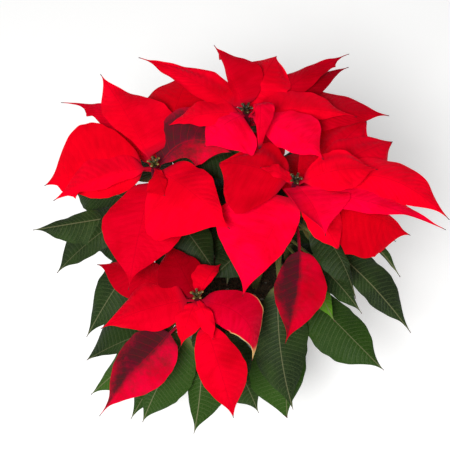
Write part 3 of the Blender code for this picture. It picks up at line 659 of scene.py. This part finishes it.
def bract_finish(look):
    """Velvety red of the bracts, dark and green-veined where they are half leaf, drawn to dark points, with
    painted light and shade on each bract, painted shade in its folds and a painted bluer sheen.
    """
    tree = Tree("bract_velvet")
    share, midrib, side_veins, net = vein_marks(tree, look.bract_vein_gap / MM)
    spot = tree.position()
    u, v = tree.place()
    along, span, tone, cream = (tree.value(name) for name in ("along", "span", "tone", "cream"))
    # Painted shade: streaks along the side veins darken the bract where its soft folds would shade it.
    painted_fold_streak = tree.cloud(tree.vector(tree.times(u, 2.2), v, span), 0.7, 1.0)
    # Painted sheen: bracts that face the light are given a bluer red.
    red = tree.mix(tree.value("pink"), look.bract_red, look.bract_painted_sheen)
    red = tree.tint(red, look.bract_shade, tree.band(tree.cloud(spot, 34.0), 0.4, 0.72), 0.6)
    # Painted fold shade laid on the red.
    red = tree.tint(red, look.bract_shade, tree.band(painted_fold_streak, 0.45, 0.8), 0.4)
    for mark, strength in ((side_veins, 0.2), (midrib, 0.3), (net, 0.05)):
        red = tree.tint(red, look.bract_vein, mark, strength)
    # Painted light and shade of each bract, then its paler underside.
    red = tree.tint(tree.scale(red, tone), look.bract_back, tree.value("under"), 0.35)
    mottle = tree.cloud(spot, 90.0, 6.0, 0.7)
    leafy = tree.mix(tree.band(mottle, 0.3, 0.75), look.maroon, look.maroon_green)
    for mark, strength in ((side_veins, 0.3), (midrib, 0.45)):
        leafy = tree.tint(leafy, look.bract_vein, mark, strength)
    ragged = tree.math("ADD", tree.value("maroon"), tree.times(tree.math("SUBTRACT", mottle, 0.5), 0.9))
    # The half-leaf colour takes the same painted light and shade.
    colour = tree.mix(tree.band(ragged, 0.12, 0.85), red, tree.scale(leafy, tone))
    edge = tree.band(tree.times(tree.math("SUBTRACT", 1.0, share), span), 0.4, 1.3, 1.0, 0.0)
    pale = tree.times(tree.math("MAXIMUM", edge, tree.band(along, 0.84, 0.93)), tree.band(cream, 0.1, 0.6))
    colour = tree.tint(colour, look.cream, pale, tree.band(along, 0.35, 0.55))
    colour = tree.tint(colour, look.maroon, tree.value("stalk"), 0.55)
    colour = tree.mix(tree.band(along, 0.955, 0.995), colour, look.tip)
    fine = tree.cloud(spot, 1500.0, 2.0)
    tree.relief(tree.math("ADD", tree.times(net, -0.5), tree.times(fine, 0.5)), 0.25, 0.25 * MM)
    return tree.finish(colour, tree.band(fine, 0.2, 0.8, 0.55, 0.7), Specular_IOR_Level=0.06,
                       Specular_Tint=(1.0, 0.0, 0.2), Sheen_Weight=0.12, Sheen_Roughness=0.5,
                       Sheen_Tint=(1.0, 0.0, 0.12))


def leaf_finish(look):
    """Dark green of the leaves, with pale veins, a lighter back, reddish stalks and woody stems, and painted
    light and shade on each leaf.
    """
    tree = Tree("leaf_green_veined")
    midrib, side_veins, net = vein_marks(tree, look.leaf_vein_gap / MM)[1:]
    spot = tree.position()
    tone = tree.value("tone")
    green = tree.mix(tree.band(tree.cloud(spot, 26.0), 0.35, 0.68), look.leaf_dark, look.leaf_green)
    # Painted light: well lit leaves are given a purer green.
    green = tree.tint(green, look.leaf_fresh, tree.value("pink"), 0.85)
    # Above 1 the painted light brings in the light green of young leaves.
    green = tree.mix(tree.band(tone, 1.0, 1.6), green, look.leaf_light)
    for over, mark, strength in ((look.leaf_vein, net, 0.22), (look.leaf_vein, side_veins, 0.5),
                                 (look.leaf_rib, midrib, 0.9)):
        green = tree.tint(green, over, mark, strength)
    # Painted shade below 1 darkens the leaf.
    green = tree.scale(green, tree.math("MINIMUM", tone, 1.0))
    green = tree.tint(green, look.leaf_back, tree.value("under"), 0.7)
    green = tree.mix(tree.value("stalk"), green, look.stalk)
    green = tree.mix(tree.band(tree.value("along"), 0.965, 0.995), green, look.tip)
    bark = tree.mix(tree.band(tree.cloud(spot, 160.0, 4.0), 0.35, 0.65), look.bark, look.stalk)
    fine = tree.cloud(spot, 900.0, 2.0)
    tree.relief(tree.math("ADD", tree.times(net, -0.7), tree.times(fine, 0.3)), 0.35, 0.3 * MM)
    return tree.finish(tree.mix(tree.value("maroon"), green, bark), tree.band(fine, 0.2, 0.8, 0.42, 0.55),
                       Specular_IOR_Level=0.08)


def floret_finish(look):
    """Yellow-green cups, yellow glands and red stamens, told apart by the values of their points, with
    painted shade that darkens the florets of each head.
    """
    tree = Tree("floret_cup")
    spot = tree.position()
    cup = tree.mix(tree.band(tree.cloud(spot, 420.0), 0.35, 0.65), look.cup, look.cup_shade)
    colour = tree.mix(tree.value("cream"), cup, look.gland)
    colour = tree.mix(tree.value("maroon"), colour, look.stamen)
    tree.relief(tree.cloud(spot, 1800.0, 2.0), 0.3, 0.2 * MM)
    shine = tree.band(tree.value("cream"), 0.0, 1.0, 0.48, 0.2)
    # Painted shade: cups, glands and stamens darkened by their head's value.
    return tree.finish(tree.scale(colour, tree.value("tone")), shine, Specular_IOR_Level=0.45)


def soil_finish(look):
    """Dark moist peat with lighter fibres and white perlite grains."""
    tree = Tree("peat_soil")
    spot = tree.position()
    peat = tree.mix(tree.band(tree.cloud(spot, 260.0, 6.0, 0.7), 0.35, 0.68), look.peat, look.peat_light)
    peat = tree.mix(tree.band(tree.cloud(spot, 900.0, 3.0), 0.62, 0.72), peat, look.fibre)
    colour = tree.mix(tree.value("cream"), peat, look.perlite)
    tree.relief(tree.cloud(spot, 700.0, 6.0, 0.75), 0.8, 1.2 * MM)
    dull = tree.band(tree.cloud(spot, 300.0), 0.2, 0.8, 0.82, 1.0)
    return tree.finish(colour, dull, Specular_IOR_Level=0.25)


def pot_finish(look):
    """Thin black moulded plastic with a fine grain and a little dust in soft patches."""
    tree = Tree("black_pot_plastic")
    spot = tree.position()
    dust = tree.band(tree.cloud(spot, 38.0, 5.0, 0.65), 0.5, 0.78)
    grain = tree.cloud(spot, 1300.0, 2.0)
    tree.relief(grain, 0.22, 0.25 * MM)
    shine = tree.math("ADD", tree.band(grain, 0.2, 0.8, 0.34, 0.44), tree.times(dust, 0.22))
    return tree.finish(tree.tint(look.plastic, look.dust, dust, 0.35), shine, Specular_IOR_Level=0.5)


def paint(name, description, value):
    """A colour that a user may change."""
    return FloatVectorProperty(name=name, description=description, subtype="COLOR", size=3, min=0.0, max=1.0,
                               default=value)


def number(name, description, value, **kind):
    """A number that a user may change."""
    return FloatProperty(name=name, description=description, default=value, **kind)


def measure(name, description, value):
    """A length in metres that a user may change."""
    return number(name, description, value, unit="LENGTH", min=0.0)


class PoinsettiaPlant(bpy.types.PropertyGroup):
    """Sizes and colours of the bracts, leaves and florets."""

    bract_red: paint("Bract red", "Lit colour of the bracts", (0.86, 0.0002, 0.010))
    # Bluer red painted as the sheen of bracts that face the light.
    bract_painted_sheen: paint("Bract pink", "Cooler red of some bracts", (0.90, 0.0002, 0.034))
    # Also laid on as painted shade in the streaks of the bracts' folds.
    bract_shade: paint("Bract shade", "Deeper red that clouds the bracts", (0.60, 0.0002, 0.006))
    bract_vein: paint("Bract vein", "Colour along a bract's veins", (0.42, 0.001, 0.010))
    bract_back: paint("Bract back", "Paler red of a bract's underside", (0.62, 0.006, 0.022))
    maroon: paint("Maroon", "Purple of the bracts that are half leaf", (0.115, 0.006, 0.018))
    maroon_green: paint("Maroon green", "Dark green mottle between their veins", (0.054, 0.016, 0.014))
    cream: paint("Cream edge", "Pale edge of the curled bract", (0.62, 0.42, 0.16))
    tip: paint("Point", "Dried point of each blade", (0.060, 0.010, 0.016))
    leaf_green: paint("Leaf green", "Lit colour of the leaves", (0.020, 0.046, 0.008))
    leaf_dark: paint("Leaf dark", "Deeper green that clouds the leaves", (0.009, 0.018, 0.007))
    # Purer green painted as light on the well lit leaves.
    leaf_fresh: paint("Fresh leaf", "Purer green of the well lit leaves", (0.016, 0.056, 0.002))
    # Light green of young leaves, also laid on as painted light on lit leaves.
    leaf_light: paint("Young leaf", "Light green of the youngest leaves", (0.085, 0.230, 0.010))
    leaf_vein: paint("Leaf vein", "Colour along a leaf's side veins", (0.110, 0.155, 0.055))
    leaf_rib: paint("Leaf midrib", "Colour of a leaf's midrib", (0.160, 0.165, 0.080))
    leaf_back: paint("Leaf back", "Greyer green of a leaf's underside", (0.060, 0.110, 0.035))
    stalk: paint("Leaf stalk", "Stalks and young stems", (0.120, 0.130, 0.035))
    bark: paint("Stem foot", "Woody stems near the soil", (0.120, 0.080, 0.045))
    cup: paint("Floret cup", "Lit colour of the cups", (0.050, 0.060, 0.010))
    cup_shade: paint("Floret cup shade", "Deeper green of the cups", (0.020, 0.028, 0.008))
    gland: paint("Floret gland", "Colour of the glands on the cups", (0.260, 0.170, 0.030))
    stamen: paint("Stamen", "Colour of the stamens", (0.140, 0.012, 0.010))
    bract_vein_gap: measure("Bract vein gap", "Distance between a bract's side veins", 6.4 * MM)
    leaf_vein_gap: measure("Leaf vein gap", "Distance between a leaf's side veins", 4.4 * MM)
    bract_relief: measure("Bract relief", "Height between a bract's veins", 0.38 * MM)
    leaf_relief: measure("Leaf relief", "Height between a leaf's veins", 0.45 * MM)
    bract_thickness: measure("Bract thickness", "Thickness of a bract's sheet", 0.45 * MM)
    leaf_thickness: measure("Leaf thickness", "Thickness of a leaf's sheet", 0.5 * MM)
    crinkle: measure("Crinkle", "Height of the soft folds in a bract", 1.1 * MM)


class PoinsettiaPot(bpy.types.PropertyGroup):
    """Colours of the pot and the soil, and the number of crumbs."""

    plastic: paint("Pot plastic", "Black of the pot", (0.010, 0.010, 0.011))
    dust: paint("Dust", "Colour of the dust on the pot", (0.060, 0.052, 0.044))
    peat: paint("Peat", "Dark colour of the soil", (0.018, 0.011, 0.007))
    peat_light: paint("Light peat", "Lighter colour of the soil", (0.060, 0.036, 0.020))
    fibre: paint("Fibre", "Colour of the fibres in the soil", (0.150, 0.095, 0.050))
    perlite: paint("Perlite", "Colour of the white grains", (0.160, 0.145, 0.120))
    crumbs: IntProperty(name="Crumbs", description="Number of crumbs on the soil", min=0, default=420)


class PoinsettiaStage(bpy.types.PropertyGroup):
    """The camera, the lights and the floor."""

    floor: paint("Floor", "Colour of the floor", (0.82, 0.82, 0.815))
    glow: number("Floor glow", "Light of the floor itself, which thins the shadow", 0.34, min=0.0)
    elevation: number("Camera elevation", "Height above the horizon", math.radians(60.0), subtype="ANGLE")
    distance: measure("Camera distance", "From the camera to the point it looks at", 1.05)
    lens: number("Lens", "Focal length in millimetres", 86.4)
    sky: number("Sky", "Strength of the even light from all round", 0.28)
    key: number("Key light", "Power of the large light in front", 43.0)


# How finely bracts or leaves are made, and how their surface runs
Build = namedtuple("Build", "vein_gap vein_slant stalk_rows wobble point crinkle relief thickness rib")


def add_stem(shape, stem, leaves):
    """Add a stem from its hole in the soil to its hub, swollen where each leaf leaves it."""
    low = SOIL_TOP - STEM_DEPTH
    high = (stem.top[2] - stem.hub) * MM - GAP
    joints = [(stem.top[2] - leaf.low) * MM for leaf in leaves]
    path, radii, woody = [], [], []
    for share in (ring / (STEM_RINGS - 1) for ring in range(STEM_RINGS)):
        height = low + (high - low) * share
        radius = STEM_FOOT_RADIUS + (STEM_TIP_RADIUS - STEM_FOOT_RADIUS) * share
        swell = sum(math.exp(-((height - joint + 1.5 * MM) / (2.2 * MM)) ** 2) for joint in joints)
        path.append(stem_point(stem, height))
        radii.append(radius * (0.93 + 0.12 * min(swell, 1.3)))
        woody.append(1.0 - float(smooth((height - SOIL_TOP) / WOODY_HEIGHT)))
    add_tube(shape, path, radii, STEM_SIDES, stalk=1.0, maroon=np.repeat(woody, STEM_SIDES))


def add_floret(shape, centre, lean, size, turn):
    """Add one floret: a green cup with a frilled mouth, a yellow gland on its side and red stamens."""
    scale = size * MM
    points = []
    for ring in range(CUP_RINGS):
        share = ring / (CUP_RINGS - 1)
        mouth = ring == CUP_RINGS - 1
        radius = (1.15 + 1.25 * math.sin(math.pi * min(share * 1.05, 1.0)) ** 0.8) * scale
        radius *= 0.75 if mouth else 1.0
        for angle in (TURN * step / CUP_SIDES for step in range(CUP_SIDES)):
            frill = 1.0 + 0.10 * math.sin(angle * 5.0) * share ** 3
            rise = (share - 0.5) * 6.2 * scale + mouth * 0.25 * MM * math.sin(angle * 7.0)
            points.append(centre + spoke(angle) * radius * frill + (UP + lean) * rise)
    shape.add([tuple(point) for point in points], tube_faces(CUP_RINGS, CUP_SIDES))
    mouth = centre + (UP + lean) * 3.0 * scale
    add_ball(shape, mouth + spoke(turn) * 2.0 * scale - UP * 0.9 * MM, GLAND_RADII, cream=1.0)
    for number in range(STAMENS):
        away = spoke(turn + TURN * number / STAMENS)
        foot = mouth + away * 0.6 * scale - UP * 1.2 * MM
        head = mouth + away * (0.9 + 0.25 * math.sin(number * 2.1)) * scale
        head = head + UP * (1.0 + 0.5 * math.sin(number * 1.7)) * MM
        add_tube(shape, (foot, head), (0.16 * MM, 0.14 * MM), 6, maroon=1.0)
        add_ball(shape, head, ANTHER_RADII, segments=8, cream=0.6, maroon=0.35)


def add_florets(shape, stem):
    """Add the stalk and the six florets of a head."""
    top = Vector(stem.top) * MM
    heights = np.linspace(0.0, 1.0, 5)
    path = [top + UP * (GAP + (CROWN_HEIGHT - GAP) * share) for share in heights]
    add_tube(shape, path, [CROWN_RADIUS * (1.0 + 0.15 * share) for share in heights], 16)
    crown = top + UP * CROWN_HEIGHT
    add_floret(shape, crown + UP * FLORET_LIFT * 1.3, Vector(), 0.8, 0.4)
    for step in range(FLORETS_ROUND):
        turn = TURN * step / FLORETS_ROUND + stem.top[0]
        place = crown + spoke(turn) * FLORET_RING + UP * FLORET_LIFT
        add_floret(shape, place, spoke(turn) * 0.5, 0.64 + 0.10 * math.sin(3.0 * turn), turn)


def soil_height(x, y):
    """Height of the lumpy soil above its mean level."""
    spot = Vector((x, y, 0.0)) / MM
    broad = noise.noise(spot * 0.045) * 1.3
    fine = noise.noise(spot * 0.23 + Vector((5.0, 1.0, 2.0))) * 0.7
    grit = noise.noise(spot * 0.8 + Vector((1.0, 7.0, 3.0))) * 0.4
    return (broad + fine + grit) * MM


def add_soil(shape, radius, low, bottom):
    """Add the plug of soil, lumpy on top, and close it down the pot's inside."""
    angles = [TURN * step / SOIL_SIDES for step in range(SOIL_SIDES)]
    points = [(0.0, 0.0, SOIL_TOP + soil_height(0.0, 0.0))]
    for share in (ring / SOIL_RINGS for ring in range(1, SOIL_RINGS + 1)):
        fall = 1.0 - smooth((share - 0.9) * 10.0)
        for angle in angles:
            x, y = radius * share * math.cos(angle), radius * share * math.sin(angle)
            points.append((x, y, SOIL_TOP + soil_height(x, y) * fall - 1.0 * MM * (1.0 - fall)))
    floor = len(points)
    points.extend((bottom * math.cos(angle), bottom * math.sin(angle), low) for angle in angles)
    faces = [(0, 1 + step, 1 + (step + 1) % SOIL_SIDES) for step in range(SOIL_SIDES)]
    faces.extend((a, d, c, b) for a, b, c, d in ring_faces(SOIL_RINGS + 1, SOIL_SIDES, first=1))
    faces.append(tuple(floor + step for step in reversed(range(SOIL_SIDES))))
    shape.add(points, faces)


def add_crumb(shape, centre, size, seed, white):
    """Add one crumb of peat or one grain of perlite, a small knobbly lump."""
    work = bmesh.new()
    bmesh.ops.create_icosphere(work, subdivisions=2, radius=1.0)
    shift = Vector((seed * 3.1, seed * 1.3, seed * 0.7))
    for vert in work.verts:
        bump = 1.0 + 0.35 * noise.noise(vert.co * 1.6 + shift)
        vert.co = centre + Vector((vert.co.x, vert.co.y * 0.8, vert.co.z * 0.6)) * bump * size
    shape.take(work, cream=white)


class POINSETTIA_OT_bracts(bpy.types.Operator):
    """Make the four heads of bracts"""

    bl_idname = "poinsettia.bracts"
    bl_label = "Bracts"

    def execute(self, context):
        look = context.scene.poinsettia_plant
        finish = bract_finish(look)
        build = Build(vein_gap=look.bract_vein_gap, vein_slant=0.2, stalk_rows=8, wobble=0.018, point=0.45,
                      crinkle=look.crinkle, relief=look.bract_relief, thickness=look.bract_thickness,
                      rib=0.7 * MM)
        for side, stem in STEMS.items():
            shape = Shape()
            top = Vector(stem.top) * MM
            path = [top - UP * stem.hub * MM * (1.0 - ring / (HUB_RINGS - 1)) for ring in range(HUB_RINGS)]
            add_tube(shape, path, [STEM_TIP_RADIUS] * HUB_RINGS, STEM_SIDES, stalk=1.0)
            for bract in BRACTS[side]:
                root = (top.x, top.y, top.z - bract.low * MM)
                add_blade(shape, bract, root, build, seed_of("%s_%d" % (side, bract.number)))
            shape.make("bract_head_" + side, finish, "bracts_" + side)
        return {"FINISHED"}


class POINSETTIA_OT_leaves(bpy.types.Operator):
    """Make the four stems with their leaves"""

    bl_idname = "poinsettia.leaves"
    bl_label = "Leafy stems"

    def execute(self, context):
        look = context.scene.poinsettia_plant
        finish = leaf_finish(look)
        build = Build(vein_gap=look.leaf_vein_gap, vein_slant=0.11, stalk_rows=14, wobble=0.022, point=0.4,
                      crinkle=0.7 * MM, relief=look.leaf_relief, thickness=look.leaf_thickness, rib=0.9 * MM)
        for side, stem in STEMS.items():
            shape = Shape()
            add_stem(shape, stem, LEAVES[side])
            for leaf in LEAVES[side]:
                root = stem_point(stem, (stem.top[2] - leaf.low) * MM)
                add_blade(shape, leaf, root, build, seed_of("leaf_%d" % leaf.number))
            shape.make("leafy_stem_" + side, finish, "leaves_" + side)
        return {"FINISHED"}


class POINSETTIA_OT_florets(bpy.types.Operator):
    """Make the clusters of florets in the middle of each head"""

    bl_idname = "poinsettia.florets"
    bl_label = "Florets"

    def execute(self, context):
        finish = floret_finish(context.scene.poinsettia_plant)
        for side, stem in STEMS.items():
            # The head's painted shade darkens all its florets.
            shape = Shape(tone=FLORET_PAINTED_SHADE[side])
            add_florets(shape, stem)
            shape.make("floret_cluster_" + side, finish, "florets_" + side)
        return {"FINISHED"}


class POINSETTIA_OT_soil(bpy.types.Operator):
    """Make the soil with its crumbs"""

    bl_idname = "poinsettia.soil"
    bl_label = "Soil"

    def execute(self, context):
        look = context.scene.poinsettia_pot
        lowest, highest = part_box("soil")
        shape = Shape()
        radius = highest.x - 0.3 * MM
        add_soil(shape, radius, lowest.z, radius * SOIL_FOOT_SHARE)
        golden = math.pi * (3.0 - math.sqrt(5.0))
        for number in range(look.crumbs):
            reach = radius * CRUMB_REACH * math.sqrt((number + 0.5) / look.crumbs)
            angle = number * golden + 0.6 * math.sin(number * 1.3)
            x, y = reach * math.cos(angle), reach * math.sin(angle)
            size = (0.9 + 1.5 * abs(math.sin(number * 2.7))) * MM
            near = min(math.hypot(x - stem.foot[0] * MM, y - stem.foot[1] * MM) for stem in STEMS.values())
            if near > STEM_FOOT_RADIUS + CRUMB_CLEARANCE:
                centre = Vector((x, y, SOIL_TOP + soil_height(x, y) + size * 0.2))
                add_crumb(shape, centre, size, number, float(number % PERLITE_EVERY == 0))
        shape.make("potting_soil", soil_finish(look), "soil")
        return {"FINISHED"}


class POINSETTIA_OT_pot(bpy.types.Operator):
    """Give the pot its plastic"""

    bl_idname = "poinsettia.pot"
    bl_label = "Pot"

    def execute(self, context):
        finish = pot_finish(context.scene.poinsettia_pot)
        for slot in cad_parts["pot"].material_slots:
            slot.material = finish
        return {"FINISHED"}


class POINSETTIA_OT_stage(bpy.types.Operator):
    """Make the floor, the soft lights and the camera"""

    bl_idname = "poinsettia.stage"
    bl_label = "Stage"

    def execute(self, context):
        look = context.scene.poinsettia_stage
        scene = context.scene
        scene.view_settings.view_transform = "Standard"

        def stand(name, data, place, back):
            """Put a lamp or the camera at a place, with its back in a direction."""
            made = bpy.data.objects.new(name, data)
            made.location = place
            made.rotation_euler = (-back).to_track_quat("-Z", "Y").to_euler()
            scene.collection.objects.link(made)
            return made

        half = FLOOR_HALF
        mesh = bpy.data.meshes.new("floor")
        mesh.from_pydata([(-half, -half, 0.0), (half, -half, 0.0), (half, half, 0.0), (-half, half, 0.0)], [],
                         [(0, 1, 2, 3)])
        tree = Tree("pale_floor")
        dull = tree.band(tree.cloud(tree.position(), 3.0), 0.0, 1.0, 0.75, 0.85)
        mesh.materials.append(tree.finish((*look.floor,), dull, Specular_IOR_Level=0.2,
                                          Emission_Color=(1.0, 1.0, 0.995), Emission_Strength=look.glow))
        floor = bpy.data.objects.new("floor", mesh)
        floor.location.z = -FLOOR_DROP
        scene.collection.objects.link(floor)

        world = bpy.data.worlds.new("studio")
        world.use_nodes = True
        background = world.node_tree.nodes["Background"]
        background.inputs["Color"].default_value = (1.0, 1.0, 1.0, 1.0)
        background.inputs["Strength"].default_value = look.sky
        scene.world = world

        lamp = bpy.data.lights.new("key_light", "AREA")
        lamp.size = KEY_SIZE
        lamp.energy = look.key
        stand("key_light", lamp, KEY_PLACE, KEY_PLACE - KEY_TARGET)

        back = Vector((0.0, -math.cos(look.elevation), math.sin(look.elevation)))
        lens = bpy.data.cameras.new("camera")
        lens.sensor_width = SENSOR_WIDTH
        lens.lens = look.lens
        scene.camera = stand("camera", lens, CAMERA_TARGET + back * look.distance, back)
        return {"FINISHED"}


class POINSETTIA_PT_panel(bpy.types.Panel):
    """The plant's pieces, in the order they are made"""

    bl_label = "Poinsettia"
    bl_idname = "POINSETTIA_PT_panel"
    bl_space_type = "VIEW_3D"
    bl_region_type = "UI"
    bl_category = "Poinsettia"

    def draw(self, context):
        for operator in OPERATORS:
            self.layout.operator(operator.bl_idname)


OPERATORS = (POINSETTIA_OT_pot, POINSETTIA_OT_soil, POINSETTIA_OT_leaves, POINSETTIA_OT_bracts,
             POINSETTIA_OT_florets, POINSETTIA_OT_stage)
GROUPS = {"poinsettia_plant": PoinsettiaPlant, "poinsettia_pot": PoinsettiaPot,
          "poinsettia_stage": PoinsettiaStage}


def register():
    """Add the settings, the operators and the panel."""
    for group in GROUPS.values():
        bpy.utils.register_class(group)
    for name, group in GROUPS.items():
        setattr(bpy.types.Scene, name, PointerProperty(type=group))
    for operator in OPERATORS:
        bpy.utils.register_class(operator)
    bpy.utils.register_class(POINSETTIA_PT_panel)


def unregister():
    """Take them away again."""
    bpy.utils.unregister_class(POINSETTIA_PT_panel)
    for operator in reversed(OPERATORS):
        bpy.utils.unregister_class(operator)
    for name in GROUPS:
        delattr(bpy.types.Scene, name)
    for group in reversed(list(GROUPS.values())):
        bpy.utils.unregister_class(group)


def main():
    """Make every piece and the stage."""
    register()
    bpy.ops.poinsettia.pot()
    bpy.ops.poinsettia.soil()
    bpy.ops.poinsettia.leaves()
    bpy.ops.poinsettia.bracts()
    bpy.ops.poinsettia.florets()
    bpy.ops.poinsettia.stage()


if __name__ == "__main__":
    main()
